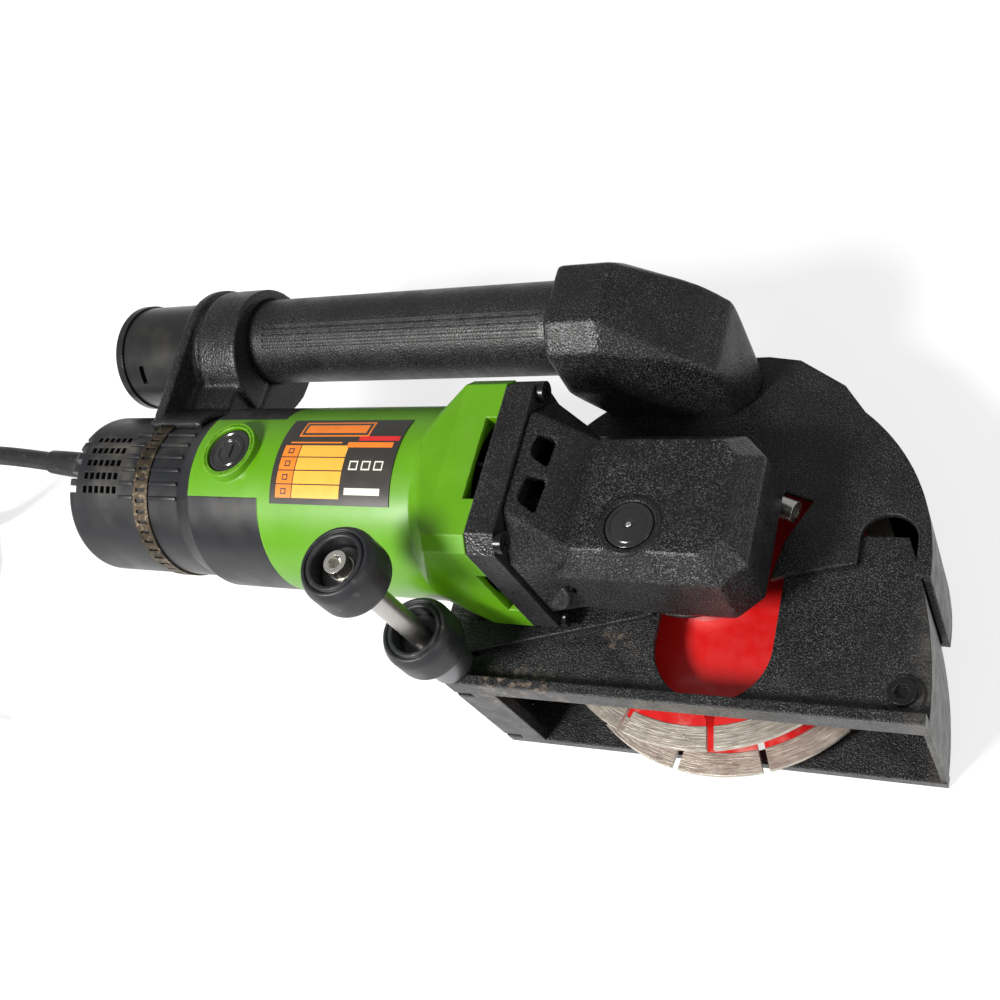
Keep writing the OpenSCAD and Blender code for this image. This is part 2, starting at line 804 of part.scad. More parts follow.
plate_x = [-160, -101];
module rating_plate() {
    color("#30302c") intersection() {
        ring_x(plate_x[0], plate_x[1], housing_r + 0.4, housing_r);
        wedge_x(plate_x[0], plate_x[1], -31, 26);
    }
}

band_x = [-240.5, -232];
screw_a = 205;
module band_clamp() {
    color("#8a7a60") {
        difference() {
            ring_x(band_x[0], band_x[1], cap_r + 0.8, cap_r);
            for (a = [-20 : 7.5 : 130]) translate([0, 0, motor_z]) rotate([a, 0, 0])
                translate([band_x[0] + 1.6, -0.7, 30]) cube([band_x[1] - band_x[0] - 3.2, 1.4, 20]);
        }
        translate([0, 0, motor_z]) rotate([screw_a, 0, 0]) difference() {
            translate([band_x[0] - 0.5, -7, cap_r + 0.7]) cube([band_x[1] - band_x[0] + 1, 14, 8.5]);
            translate([(band_x[0] + band_x[1]) / 2, -8, cap_r + 5]) rotate([-90, 0, 0]) cylinder(h = 16, r = 3.5);
        }
    }
}

module band_screw() {
    color("silver") translate([0, 0, motor_z]) rotate([screw_a, 0, 0])
        translate([(band_x[0] + band_x[1]) / 2, -7, cap_r + 5]) rotate([-90, 0, 0]) {
            cylinder(h = 15, r = 3.5);
            translate([0, 0, 14.5]) difference() {
                cylinder(h = 5, r = 4, $fn = 6);
                translate([-4, -0.5, 3.6]) cube([8, 1, 2]);
            }
        }
}

// ---- handle and dust duct

collar_x = -214;
bracket_back_x = -246.5;
bracket_front_x = -241;
// The rear end of the handle sits lower than the tube
rear_y = handle_y - 4.6;
rear_z = handle_z - 3;

module rear_bar(x0, x1, r) {
    translate([x0, rear_y, rear_z]) rotate([0, 90, 0]) cylinder(h = x1 - x0, r = r);
}

module handle_bracket() {
    color("#242424") difference() {
        union() {
            // plate across the two tubes
            translate([bracket_back_x, 0, 0]) rotate([90, 0, 90]) linear_extrude(bracket_front_x - bracket_back_x) hull() {
                translate([rear_y, rear_z - 3]) circle(r = 33.4);
                polygon([[21, 142], [44, 84], [26, 80], [16, 136]]);
            }
            rear_bar(bracket_front_x - 1, collar_x - 22, 27.5);
            rear_bar(collar_x - 22.1, collar_x, 30.5);
            // saddle on the motor and the web that carries the collar
            intersection() {
                bar_x(bracket_back_x, -216, cap_r + 3.3);
                wedge_x(bracket_back_x, -216, 27, 128);
            }
            translate([bracket_front_x, 34, 97]) cube([24.5, 20, 33]);
        }
        bar_x(bracket_back_x - 1, -216, cap_r);
        ring_x(band_x[0] - 0.5, band_x[1] + 0.5, cap_r + 1.2, cap_r - 1);
        handle_bar(bracket_back_x - 1, -180, handle_r);
        // clamping slot and its screw
        translate([-235, 40, 112]) cube([30, 22, 2]);
        bar_z(80, screw_top + 1, 2.5, screw_xy);
        bar_z(80, screw_seat, 4.3, screw_xy);
    }
}

screw_xy = [-225, 50.5];
screw_seat = 97;
screw_top = 128;

module bracket_screw() {
    color("silver") difference() {
        union() {
            bar_z(screw_seat - 1, screw_top, 2.45, screw_xy);
            bar_z(screw_seat - 4.5, screw_seat, 4.2, screw_xy);
        }
        translate([screw_xy[0], screw_xy[1], screw_seat - 5]) cylinder(h = 3, r = 2.3, $fn = 6);
    }
}

tube_bore = 16.5;
module handle_tube() {
    color("#2c2c2c") difference() {
        handle_bar(bracket_back_x, elbow_x, handle_r);
        handle_bar(bracket_back_x - 1, elbow_x + 1, tube_bore);
        // grip grooves along the front of the tube
        for (a = [18 : 8.5 : 43.5]) translate([-206, handle_y, handle_z]) rotate([a, 0, 0])
            translate([0, -0.7, handle_r - 0.8]) cube([144, 1.4, 2]);
    }
}

elbow_x = -58;
module dust_elbow() {
    color("#2c2c2c") difference() {
        union() {
            hull() {
                translate([elbow_x, 0, 0]) rotate([90, 0, 90]) linear_extrude(24)
                    polygon([[56, 105], [64, 96], [96, 96], [103, 105], [103, 131], [95, 141.5], [66, 141.5], [56, 131]]);
                translate([-8, 62, 104]) cube([5, 38, 13]);
                translate([-2, 63, 98]) cube([9, 37, 8]);
                translate([-57, 67, guard_w]) linear_extrude(2)
                    polygon([[0, 5], [6, 0], [60, 0], [69, 8], [71, 18], [66, 29], [58, 31], [4, 31], [0, 26]]);
            }
            handle_bar(elbow_x - 14, elbow_x + 1, tube_bore);
        }
        handle_bar(elbow_x - 15, -33, 13.5);
        translate([-33, handle_y, handle_z]) sphere(r = 13.5);
        translate([duct_xy[0], duct_xy[1], guard_w - 1]) cylinder(h = 8, r = 12.6);
        duct_run = [duct_xy[0] + 33, duct_xy[1] - handle_y, guard_w + 7 - handle_z];
        translate([-33, handle_y, handle_z]) rotate([0, 90 + atan2(-duct_run[2], duct_run[0]), 0])
            cylinder(h = norm(duct_run) + 3, r = 12.6);
    }
}

outlet_end_x = -293;
outlet_bore_r = 19;
module dust_outlet() {
    color("#2a2622") difference() {
        union() {
            rear_bar(outlet_end_x, outlet_end_x + 4, 26.3);
            rear_bar(outlet_end_x + 4.6, bracket_back_x, 25.4);
            rear_bar(outlet_end_x + 3, bracket_back_x, 24.8);
            handle_bar(bracket_back_x - 1, bracket_back_x + 25, tube_bore);
        }
        rear_bar(outlet_end_x - 1, bracket_back_x - 6, outlet_bore_r);
        handle_bar(outlet_end_x + 5, bracket_back_x + 26, 14);
        // small latch slot
        translate([-279.5, rear_y - 26, rear_z + 10]) cube([3, 10, 8]);
    }
}

// ---- mains lead

lead_y = 12;
boot_len = 60;
boot_a = 5;
cord_r = cord_d / 2;
coil_at = [-555, -44];
coil_mid_r = 60;

lead_route = [[-344, 17.2, 107.5], [-374, 20, 107.3], [-404, 22, 106], [-424, 23, 101], [-442, 24, 91], [-457, 25, 77],
    [-467, 25, 62], [-477, 26, 45], [-489, 26, 29], [-504, 26, 15], [-522, 26, 8], [-536, 26, 5.5]];
tail_route = [[-540, -115, 15], [-522, -116, 16], [-504, -116, 18], [-488.3, -116, 19]];

module strain_relief() {
    color("#151515") translate([0, lead_y, motor_z]) {
        translate([cap_end_x - 0.1, 0, 0]) rotate([0, 90, 0]) cylinder(h = 6, r = 7);
        translate([cap_end_x + 3, 0, 0]) rotate([0, 90, 0]) cylinder(h = 3, r = 9);
        difference() {
            translate([cap_end_x, 0, 0]) rotate([0, -90, -boot_a]) translate([0, 0, -2])
                cylinder(h = boot_len + 2.2, r1 = 7.3, r2 = 6.2);
            translate([cap_end_x, -20, -20]) cube(40);
        }
    }
}

// A round tube swept along a list of points
// Direction of the run at point i
function heading(p, i) = let (a = p[max(i - 1, 0)], b = p[min(i + 1, len(p) - 1)]) (b - a) / norm(b - a);
module swept_tube(p, r, sides = 10) {
    rings = [for (i = [0 : len(p) - 1]) let (t = heading(p, i), side = cross(t, [0, 0, 1]), u = side / norm(side),
        w = cross(u, t)) for (k = [0 : sides - 1]) p[i] + r * (cos(360 * k / sides) * u + sin(360 * k / sides) * w)];
    n = len(p);
    polyhedron(rings, concat(
        [[for (k = [0 : sides - 1]) k]],
        [[for (k = [0 : sides - 1]) (n - 1) * sides + sides - 1 - k]],
        [for (i = [0 : n - 2], k = [0 : sides - 1])
            [i * sides + k, (i + 1) * sides + k, (i + 1) * sides + (k + 1) % sides, i * sides + (k + 1) % sides]]));
}

module cord() {
    color("#121212") {
        swept_tube(lead_route, cord_r);
        swept_tube(tail_route, cord_r);
    }
}

module cord_coil() {
    color("#121212") translate([coil_at[0], coil_at[1], 0]) ring_z(0, 2 * cord_d, coil_mid_r + 1.5 * cord_d, coil_mid_r - 1.5 * cord_d);
}

module cord_tie() {
    r = coil_mid_r;
    w = 1.5 * cord_d;
    color("#303030") translate([coil_at[0], coil_at[1], 0]) difference() {
        translate([-r - w - 1.2, -5, 0]) cube([2 * w + 2.4, 10, 2 * cord_d + 1.2]);
        translate([-r - w - 0.1, -6, -1]) cube([2 * w + 0.5, 12, 2 * cord_d + 1]);
    }
}

plug_at = [-488, -116, 19];
module plug() {
    color("#181818") translate(plug_at) rotate([0, 90, 0]) {
        cylinder(h = 22, r1 = 6.5, r2 = 9);
        translate([0, 0, 22]) cylinder(h = 16, r1 = 13, r2 = 18);
        translate([0, 0, 38]) cylinder(h = 10, r = 18.5);
        for (s = [-1, 1]) translate([0, s * 9.5, 47]) cylinder(h = 20, r = 2.4);
    }
}

upper_guard();
shoe();
shoe_bolt();
shoe_nut();
hinge_axle();
axle_sleeve();
roller_far();
roller_near();
roller_washers();
roller_bolt();
guard_clamp_screw();
gear_case();
neck_flange();
neck_screws();
flange_plate();
flange_screws();
spindle();
spindle_bearing();
spindle_bush();
bevel_gear();
gear_nut();
pinion();
inner_flange();
disc_spacer();
disc_near();
disc_far();
disc_nut();
lock_button();
lock_spring();
motor_housing();
rear_sleeve();
rear_cap();
front_bearing();
rear_bearing();
armature_shaft();
armature_core();
armature_winding();
commutator();
cooling_fan();
stator_core();
field_coils();
brush_holders();
carbon_brushes();
brush_springs();
switch_body();
switch_button();
switch_spring();
rating_plate();
band_clamp();
band_screw();
handle_bracket();
bracket_screw();
handle_tube();
dust_outlet();
dust_elbow();
strain_relief();
cord();
cord_coil();
cord_tie();
plug();
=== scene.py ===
"""Wall chaser: camera, lead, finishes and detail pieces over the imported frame."""

import math

import bmesh
import bpy
from mathutils import Matrix, Vector


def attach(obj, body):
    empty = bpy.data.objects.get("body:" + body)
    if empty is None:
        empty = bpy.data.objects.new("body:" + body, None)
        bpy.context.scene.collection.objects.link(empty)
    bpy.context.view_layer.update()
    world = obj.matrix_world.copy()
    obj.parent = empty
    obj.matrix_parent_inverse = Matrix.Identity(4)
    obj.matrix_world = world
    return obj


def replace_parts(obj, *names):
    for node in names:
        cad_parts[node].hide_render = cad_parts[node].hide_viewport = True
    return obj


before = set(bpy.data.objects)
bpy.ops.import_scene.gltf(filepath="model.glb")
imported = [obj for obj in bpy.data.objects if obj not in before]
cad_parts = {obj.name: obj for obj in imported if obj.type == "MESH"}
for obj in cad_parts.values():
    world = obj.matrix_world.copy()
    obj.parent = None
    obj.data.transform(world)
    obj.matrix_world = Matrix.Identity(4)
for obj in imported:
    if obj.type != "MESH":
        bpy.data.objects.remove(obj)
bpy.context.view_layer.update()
MM = 0.001

# places in the frame, in millimetres
MOTOR_Z = 107.5
HINGE = (-95.5, -58)
LOCK_AT = (-9.2, -13.8)
SWITCH_AT = (-185, -0.2)
CORD_D = 10


# ---- camera, light and floor


def make_camera():
    cam = bpy.data.cameras.new("camera")
    cam.lens, cam.sensor_width = 42.77, 36
    cam.clip_start, cam.clip_end = 0.01, 20
    ob = bpy.data.objects.new("camera", cam)
    bpy.context.scene.collection.objects.link(ob)
    right = Vector((0.8803, 0.2477, -0.4045)).normalized()
    back = Vector((0.4737, -0.4132, 0.7778)).normalized()
    up = back.cross(right).normalized()
    turn = Matrix((right, up, back)).transposed().to_4x4()
    ob.matrix_world = Matrix.Translation(Vector((157.127, -199.464, 487.283)) * MM) @ turn
    bpy.context.scene.camera = ob


def area_light(name, at, target, size, power, color=(1, 1, 1)):
    light = bpy.data.lights.new(name, "AREA")
    light.shape, light.size, light.energy, light.color = "DISK", size, power, color
    ob = bpy.data.objects.new(name, light)
    bpy.context.scene.collection.objects.link(ob)
    ob.location = at
    ob.rotation_euler = (Vector(target) - Vector(at)).to_track_quat("-Z", "Y").to_euler()


def make_stage():
    scene = bpy.context.scene
    scene.view_settings.view_transform = "Standard"
    scene.view_settings.look = "None"
    world = bpy.data.worlds.new("studio")
    world.use_nodes = True
    world.node_tree.nodes["Background"].inputs[0].default_value = (1, 1, 1, 1)
    world.node_tree.nodes["Background"].inputs[1].default_value = 0.4
    scene.world = world
    middle = (-0.08, 0.0, 0.08)
    area_light("key", (-0.5, -0.72, 1.0), middle, 0.32, 31, (1.0, 0.985, 0.96))
    area_light("side", (1.1, -0.45, 0.6), middle, 0.5, 5)
    area_light("low", (0.1, -1.2, 0.5), middle, 0.7, 1.5)
    bm = bmesh.new()
    bmesh.ops.create_grid(bm, x_segments=8, y_segments=8, size=6)
    bmesh.ops.translate(bm, verts=bm.verts, vec=(0, 0, -0.0003))
    floor = new_object("studio_floor", bm, [stage_paint()])


# ---- mesh helpers


SHARP = math.radians(32)


def new_object(name, bm, materials):
    """An object from a bmesh, smooth except over its sharp edges."""
    bmesh.ops.recalc_face_normals(bm, faces=bm.faces)
    for f in bm.faces:
        f.smooth = True
    for e in bm.edges:
        e.smooth = len(e.link_faces) == 2 and e.calc_face_angle(0) < SHARP
    mesh = bpy.data.meshes.new(name)
    bm.to_mesh(mesh)
    bm.free()
    ob = bpy.data.objects.new(name, mesh)
    bpy.context.scene.collection.objects.link(ob)
    for m in materials:
        mesh.materials.append(m)
    return ob


def rounded(profile, turns=5):
    """A closed outline of (a, b, fillet radius) with its corners rounded."""
    out, n = [], len(profile)
    for i, (a, b, r) in enumerate(profile):
        here = Vector((a, b))
        if r <= 0:
            out.append(here)
            continue
        p, q = Vector(profile[i - 1][:2]), Vector(profile[(i + 1) % n][:2])
        to_p, to_q = (p - here), (q - here)
        cut = min(r, to_p.length * 0.49, to_q.length * 0.49)
        start, end = here + to_p.normalized() * cut, here + to_q.normalized() * cut
        for k in range(turns + 1):
            t = k / turns
            out.append(start * (1 - t) ** 2 + here * 2 * t * (1 - t) + end * t * t)
    return out


def lathe(bm, outline, place, sides, slot=0):
    """A closed outline of (radius, height) turned about the local z axis, in millimetres."""
    rings = []
    for k in range(sides):
        c, s = math.cos(2 * math.pi * k / sides), math.sin(2 * math.pi * k / sides)
        rings.append([bm.verts.new(place @ (Vector((p[0] * c, p[0] * s, p[1])) * MM)) for p in outline])
    n = len(outline)
    for k in range(sides):
        a, b = rings[k], rings[(k + 1) % sides]
        for i in range(n):
            j = (i + 1) % n
            if outline[i][0] < 1e-6 and outline[j][0] < 1e-6:
                continue
            f = bm.faces.new((a[i], a[j], b[j], b[i]))
            f.material_index = slot
    bmesh.ops.remove_doubles(bm, verts=bm.verts, dist=1e-7)


def at(x, y, z, turn=None):
    """The place of a local frame in millimetres, turned if asked."""
    m = Matrix.Translation(Vector((x, y, z)) * MM)
    return m @ turn if turn else m


def seat(ob, body, replaces=()):
    """Puts a piece on its body and the CAD nodes that it stands for."""
    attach(ob, body)
    if replaces:
        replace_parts(ob, *replaces)
    return ob


def box_into(bm, size, place, slot=0, bevel=0.0):
    """A block of the given size in millimetres, its edges rounded."""
    made = bmesh.ops.create_cube(bm, size=1)["verts"]
    for v in made:
        v.co = Vector((v.co.x * size[0], v.co.y * size[1], v.co.z * size[2])) * MM
    faces = {f for v in made for f in v.link_faces}
    for f in faces:
        f.material_index = slot
    edges = {e for v in made for e in v.link_edges}
    if bevel:
        got = bmesh.ops.bevel(bm, geom=list(edges), offset=bevel * MM, segments=3, affect="EDGES", profile=0.5)
        made = list({v for f in got["faces"] for v in f.verts} | {v for v in made if v.is_valid})
    for v in made:
        v.co = place @ v.co


def softened(node, voxel, rounds, material):
    """A casting's own shape with its corners rounded off, in place of the CAD node."""
    source = bpy.data.objects[node]
    mesh = source.data.copy()
    ob = bpy.data.objects.new(node + "_cast", mesh)
    bpy.context.scene.collection.objects.link(ob)
    ob.matrix_world = source.matrix_world
    mesh.materials.clear()
    remesh = ob.modifiers.new("remesh", "REMESH")
    remesh.mode, remesh.voxel_size, remesh.use_smooth_shade = "VOXEL", voxel * MM, True
    smooth = ob.modifiers.new("smooth", "SMOOTH")
    smooth.factor, smooth.iterations = 0.5, rounds
    dg = bpy.context.evaluated_depsgraph_get()
    baked = bpy.data.meshes.new_from_object(ob.evaluated_get(dg))
    ob.modifiers.clear()
    ob.data = baked
    baked.materials.clear()
    baked.materials.append(material)
    for p in baked.polygons:
        p.use_smooth = True
    return seat(ob, "tool", (node,))


# ---- materials


class Paint:
    """A node material built up in layers over one principled shader."""

    def __init__(self, name, base, rough, metal=0.0, **sockets):
        self.m = bpy.data.materials.new(name)
        self.m.use_nodes = True
        self.tree = self.m.node_tree
        self.shader = self.tree.nodes["Principled BSDF"]
        self.base = (*base, 1)
        self.shader.inputs["Base Color"].default_value = self.base
        self.shader.inputs["Roughness"].default_value = rough
        self.shader.inputs["Metallic"].default_value = metal
        for key, value in sockets.items():
            self.shader.inputs[key.replace("_", " ")].default_value = value
        self.m.diffuse_color = self.base
        self.place = self.add("ShaderNodeTexCoord")
        self.color = self.normal = self.edge = None

    def add(self, kind, inputs=None, **props):
        node = self.tree.nodes.new(kind)
        for key, value in props.items():
            setattr(node, key, value)
        for key, value in (inputs or {}).items():
            if isinstance(value, bpy.types.NodeSocket):
                self.tree.links.new(value, node.inputs[key])
            else:
                node.inputs[key].default_value = value
        return node

    def noise(self, scale, detail=3.0, rough=0.5, stretch=None):
        where = self.place.outputs["Object"]
        if stretch:
            where = self.add("ShaderNodeMapping", {"Vector": where, "Scale": stretch}).outputs[0]
        return self.add("ShaderNodeTexNoise", {"Vector": where, "Scale": scale, "Detail": detail,
                                               "Roughness": rough}).outputs["Fac"]

    def cells(self, scale):
        return self.add("ShaderNodeTexVoronoi", {"Vector": self.place.outputs["Object"], "Scale": scale,
                                                 "Smoothness": 0.6}, feature="SMOOTH_F1").outputs["Distance"]

    def ramp(self, value, low, high, to_low=0.0, to_high=1.0):
        return self.add("ShaderNodeMapRange", {"Value": value, "From Min": low, "From Max": high,
                                               "To Min": to_low, "To Max": to_high}).outputs[0]

    def calc(self, how, a, b):
        return self.add("ShaderNodeMath", {0: a, 1: b}, operation=how).outputs[0]

    def over(self, color, mask):
        """Lays a colour over what is there, where the mask is high."""
        node = self.add("ShaderNodeMix", {0: mask, 6: self.color or self.base, 7: (*color, 1)}, data_type="RGBA")
        self.color = node.outputs[2]
        return self

    def axis(self, which):
        return self.add("ShaderNodeSeparateXYZ", {0: self.place.outputs["Object"]}).outputs[which]

    def facing(self, direction, low=0.3, high=0.95):
        """High where the surface faces a direction of its own body."""
        aim = Vector(direction).normalized()
        dot = self.add("ShaderNodeVectorMath", {0: self.place.outputs["Normal"], 1: aim}, operation="DOT_PRODUCT")
        return self.ramp(dot.outputs["Value"], low, high)

    def round_edges(self, radius):
        bevel = self.add("ShaderNodeBevel", {"Radius": radius * MM}, samples=4)
        self.normal = bevel.outputs[0]
        flat = self.add("ShaderNodeNewGeometry").outputs["Normal"]
        dot = self.add("ShaderNodeVectorMath", {0: flat, 1: bevel.outputs[0]}, operation="DOT_PRODUCT")
        self.edge = self.ramp(dot.outputs["Value"], 0.995, 0.86)
        return self

    def worn(self, color, amount, scale=180):
        """Lighter metal or dust where corners rub."""
        patch = self.ramp(self.noise(scale, 4), 0.42, 0.62, 0.0, amount)
        return self.over(color, self.calc("MULTIPLY", self.edge, patch))

    def grain(self, height, depth, strength=1.0):
        """Relief from a height, in millimetres deep."""
        inputs = {"Height": height, "Strength": strength, "Distance": depth * MM}
        if self.normal:
            inputs["Normal"] = self.normal
        self.normal = self.add("ShaderNodeBump", inputs).outputs[0]
        return self

    def roughness(self, value, low, high):
        self.tree.links.new(self.ramp(value, 0.3, 0.7, low, high), self.shader.inputs["Roughness"])
        return self

    def done(self):
        if self.color:
            self.tree.links.new(self.color, self.shader.inputs["Base Color"])
        if self.normal:
            self.tree.links.new(self.normal, self.shader.inputs["Normal"])
        return self.m


def stage_paint():
    """A back-lit sheet: its own glow keeps the shadows on it pale."""
    p = Paint("floor_paper", (0.3, 0.3, 0.3), 0.85, Emission_Color=(1, 1, 1, 1), Emission_Strength=0.72)
    p.over((0.28, 0.28, 0.28), p.ramp(p.noise(9, 2), 0.4, 0.7))
    return p.done()


def casting(name, base=(0.0028, 0.0028, 0.0032), coarse=1150, depth=0.3, dusty=0.1, rough=(0.3, 0.46), painted_glints=0.5):
    """Black wrinkle paint: fine pebbles with pale specks painted into the colour as glints (painted highlights), with
    a little pale dust in the hollows.
    """
    p = Paint(name, base, 0.4, Specular_IOR_Level=0.32).round_edges(1.1)
    pebble, fine = p.noise(coarse, 1.5, 0.5), p.cells(coarse * 0.9)
    p.over((0.007, 0.007, 0.008), p.ramp(p.noise(22, 3), 0.45, 0.75, 0, 0.6))
    dust = p.ramp(p.noise(35, 4), 0.5, 0.8, 0, dusty)
    p.over((0.14, 0.13, 0.11), p.calc("MULTIPLY", p.ramp(pebble, 0.48, 0.36), dust))
    # painted highlights: pale grey specks laid into the base colour where glints off the pebbles would be
    painted_glint_specks = p.ramp(p.noise(coarse * 1.6, 1.5, 0.6), 0.53, 0.68, 0, painted_glints)
    p.over((0.15, 0.155, 0.165), p.calc("MULTIPLY", painted_glint_specks, p.ramp(p.noise(60, 3), 0.3, 0.65, 0.35, 1.0)))
    p.worn((0.07, 0.07, 0.07), 0.5)
    p.grain(p.calc("ADD", pebble, p.calc("MULTIPLY", fine, 0.5)), depth)
    return p.roughness(p.noise(140, 3), *rough)


def smooth_plastic(name, base, rough, spread=0.08, edges=0.7, wear=(0.1, 0.1, 0.1), dust=0.12, **sockets):
    """Moulded plastic: fine orange peel, faint scratches and a film of dust on top."""
    p = Paint(name, base, rough, **{"Specular_IOR_Level": 0.36, **sockets}).round_edges(edges)
    p.over(tuple(min(1, c * 1.5 + 0.004) for c in base), p.ramp(p.noise(40, 4), 0.45, 0.8, 0, 0.35))
    film = p.ramp(p.noise(60, 5), 0.5, 0.85, 0, dust)
    p.over((0.34, 0.3, 0.24), p.calc("MULTIPLY", p.facing((0, 0.3, 1)), film))
    p.worn(wear, 0.35)
    p.grain(p.noise(1500, 2), 0.03, 0.5)
    return p.roughness(p.noise(60, 4, 0.5), rough - spread, rough + spread)


def steel(name, base=(0.62, 0.61, 0.59), rough=0.24, along=(12, 12, 1), soil=0.25, edges=0.25):
    """Turned or rolled steel: fine tool marks along one way, with brown soil in patches."""
    p = Paint(name, base, rough, 1.0).round_edges(edges)
    marks = p.noise(260, 4, 0.6, along)
    p.over((0.3, 0.26, 0.21), p.ramp(p.noise(150, 4), 0.52, 0.78, 0, soil))
    p.grain(marks, 0.03, 0.6)
    return p.roughness(marks, max(0.08, rough - 0.1), rough + 0.16)


def build_materials():
    made = {}

    made["guard"] = casting("guard_wrinkle_paint", dusty=0.15).done()

    # the shoe is dusty at its front end, scuffed at the rear of its near panel and rubbed low down
    shoe = casting("shoe_wrinkle_paint", dusty=0.2)
    front = shoe.ramp(shoe.axis(0), 0.083, 0.0915)
    low = shoe.ramp(shoe.axis(1), -0.035, -0.062)
    film = shoe.ramp(shoe.noise(120, 5), 0.36, 0.7, 0.2, 0.8)
    shoe.over((0.05, 0.046, 0.04), shoe.calc("MULTIPLY", front, film))
    scuff = shoe.ramp(shoe.noise(300, 4), 0.5, 0.68, 0, 0.7)
    spot = shoe.ramp(shoe.noise(26, 1), 0.58, 0.7)
    near_rear = shoe.ramp(shoe.axis(0), 0.0, -0.03)
    shoe.over((0.2, 0.15, 0.11), shoe.calc("MULTIPLY", scuff, shoe.calc("MULTIPLY", spot, near_rear)))
    shoe.over((0.05, 0.05, 0.052), shoe.calc("MULTIPLY", low, shoe.ramp(shoe.noise(400, 4), 0.5, 0.75, 0, 0.3)))
    made["shoe"] = shoe.done()

    made["head"] = casting("head_wrinkle_paint", coarse=1050, depth=0.32, rough=(0.26, 0.42)).done()
    made["plate"] = casting("plate_wrinkle_paint", depth=0.22, rough=(0.24, 0.4), painted_glints=0.3).done()
    made["duct"] = casting("duct_wrinkle_plastic", (0.003, 0.003, 0.0034), coarse=1100, rough=(0.32, 0.46)).done()
    made["tube"] = casting("tube_wrinkle_plastic", (0.004, 0.004, 0.0044), coarse=1300, depth=0.2,
                           rough=(0.34, 0.48), painted_glints=0.35).done()
    made["bracket"] = casting("bracket_wrinkle_plastic", (0.003, 0.003, 0.0034), coarse=1200, depth=0.24,
                              dusty=0.15, rough=(0.3, 0.45), painted_glints=0.35).done()
    made["green"] = smooth_plastic("green_gloss_plastic", (0.066, 0.2, 0.0005), 0.38, spread=0.07, edges=1.0,
                                   wear=(0.3, 0.55, 0.1), dust=0.03, Coat_Weight=0.12, Coat_Roughness=0.2).done()
    soft_black = (0.006, 0.0065, 0.008)
    made["black"] = smooth_plastic("black_soft_plastic", soft_black, 0.4, edges=0.8,
                                   wear=(0.06, 0.06, 0.06), dust=0.14).done()
    made["cap"] = smooth_plastic("cap_plastic", soft_black, 0.42, edges=0.8, wear=(0.08, 0.08, 0.08), dust=0.2).done()

    outlet = smooth_plastic("outlet_plastic", (0.008, 0.008, 0.008), 0.34, edges=0.6,
                            wear=(0.05, 0.045, 0.04), dust=0.05)
    tan = outlet.ramp(outlet.noise(70, 5), 0.3, 0.6, 0.2, 0.9)
    outlet.over((0.3, 0.19, 0.08), outlet.calc("MULTIPLY", outlet.facing((-0.1, 1, 0.15), 0.72, 0.95), tan))
    made["outlet"] = outlet.done()

    made["axle"] = steel("polished_axle", (0.42, 0.41, 0.39), 0.34, (3, 3, 40), 0.2).done()
    made["steel"] = steel("bright_steel").done()
    made["hub"] = hub_steel().done()
    made["bearing"] = steel("bearing_steel", (0.5, 0.5, 0.5), 0.2, (8, 8, 60), 0.1).done()
    made["gear"] = steel("gear_steel", (0.3, 0.3, 0.29), 0.34, (6, 6, 6), 0.3).done()
    made["sleeve"] = steel("grey_sleeve", (0.2, 0.2, 0.21), 0.42, (4, 4, 50), 0.2).done()
    made["lamination"] = steel("motor_laminations", (0.3, 0.31, 0.32), 0.4, (260, 2, 2), 0.2).done()
    made["copper"] = steel("enamelled_copper", (0.5, 0.19, 0.07), 0.3, (40, 6, 6), 0.2).done()
    made["bronze"] = steel("bush_bronze", (0.48, 0.3, 0.12), 0.32, (8, 8, 60), 0.2).done()
    made["screws"] = smooth_plastic("black_oxide_screws", (0.012, 0.012, 0.013), 0.24, edges=0.3,
                                    wear=(0.3, 0.3, 0.3), dust=0.05, metal=0.6).done()
    band = steel("worn_band_steel", (0.07, 0.055, 0.04), 0.46, (40, 2, 2), 0.0, 0.4)
    band.over((0.34, 0.27, 0.18), band.ramp(band.noise(520, 4), 0.54, 0.7, 0, 0.6))
    band.over((0.03, 0.025, 0.02), band.ramp(band.noise(200, 3), 0.5, 0.35, 0, 0.7))
    made["band"] = band.done()

    carbon = Paint("brush_carbon", (0.02, 0.02, 0.022), 0.6, 0.1)
    carbon.over((0.05, 0.05, 0.055), carbon.ramp(carbon.noise(700, 3), 0.45, 0.7)).grain(carbon.noise(900, 3), 0.05)
    made["carbon"] = carbon.done()

    made["button"] = smooth_plastic("button_gloss_plastic", (0.008, 0.008, 0.009), 0.2, spread=0.05, edges=0.3,
                                    wear=(0.05, 0.05, 0.05), dust=0.05, Coat_Weight=0.5, Coat_Roughness=0.1).done()
    made["label"] = smooth_plastic("label_film_dark", (0.022, 0.02, 0.018), 0.34, spread=0.06, edges=0.2,
                                   wear=(0.2, 0.2, 0.2), dust=0.05).done()
    for name, base in {"orange": (0.6, 0.15, 0.012), "yellow": (0.6, 0.29, 0.035), "white": (0.5, 0.5, 0.44),
                       "red": (0.45, 0.012, 0.012), "ink": (0.03, 0.027, 0.024)}.items():
        ink = Paint("label_film_" + name, base, 0.34)
        ink.over(tuple(c * 0.8 for c in base), ink.ramp(ink.noise(160, 4), 0.45, 0.75, 0, 0.5))
        ink.grain(ink.noise(900, 2), 0.02, 0.5)
        made["label_" + name] = ink.done()

    for name, base in {"rubber": (0.007, 0.0075, 0.009), "cord": (0.006, 0.006, 0.0065)}.items():
        p = Paint(name + "_compound", base, 0.45, Specular_IOR_Level=0.36).round_edges(0.6)
        p.over((0.025, 0.026, 0.03), p.ramp(p.noise(80, 4), 0.46, 0.8, 0, 0.5))
        p.over((0.2, 0.18, 0.15), p.ramp(p.noise(240, 5), 0.6, 0.8, 0, 0.25))
        p.grain(p.noise(900, 3), 0.05, 0.6)
        made[name] = p.roughness(p.noise(70, 4), 0.34, 0.52).done()

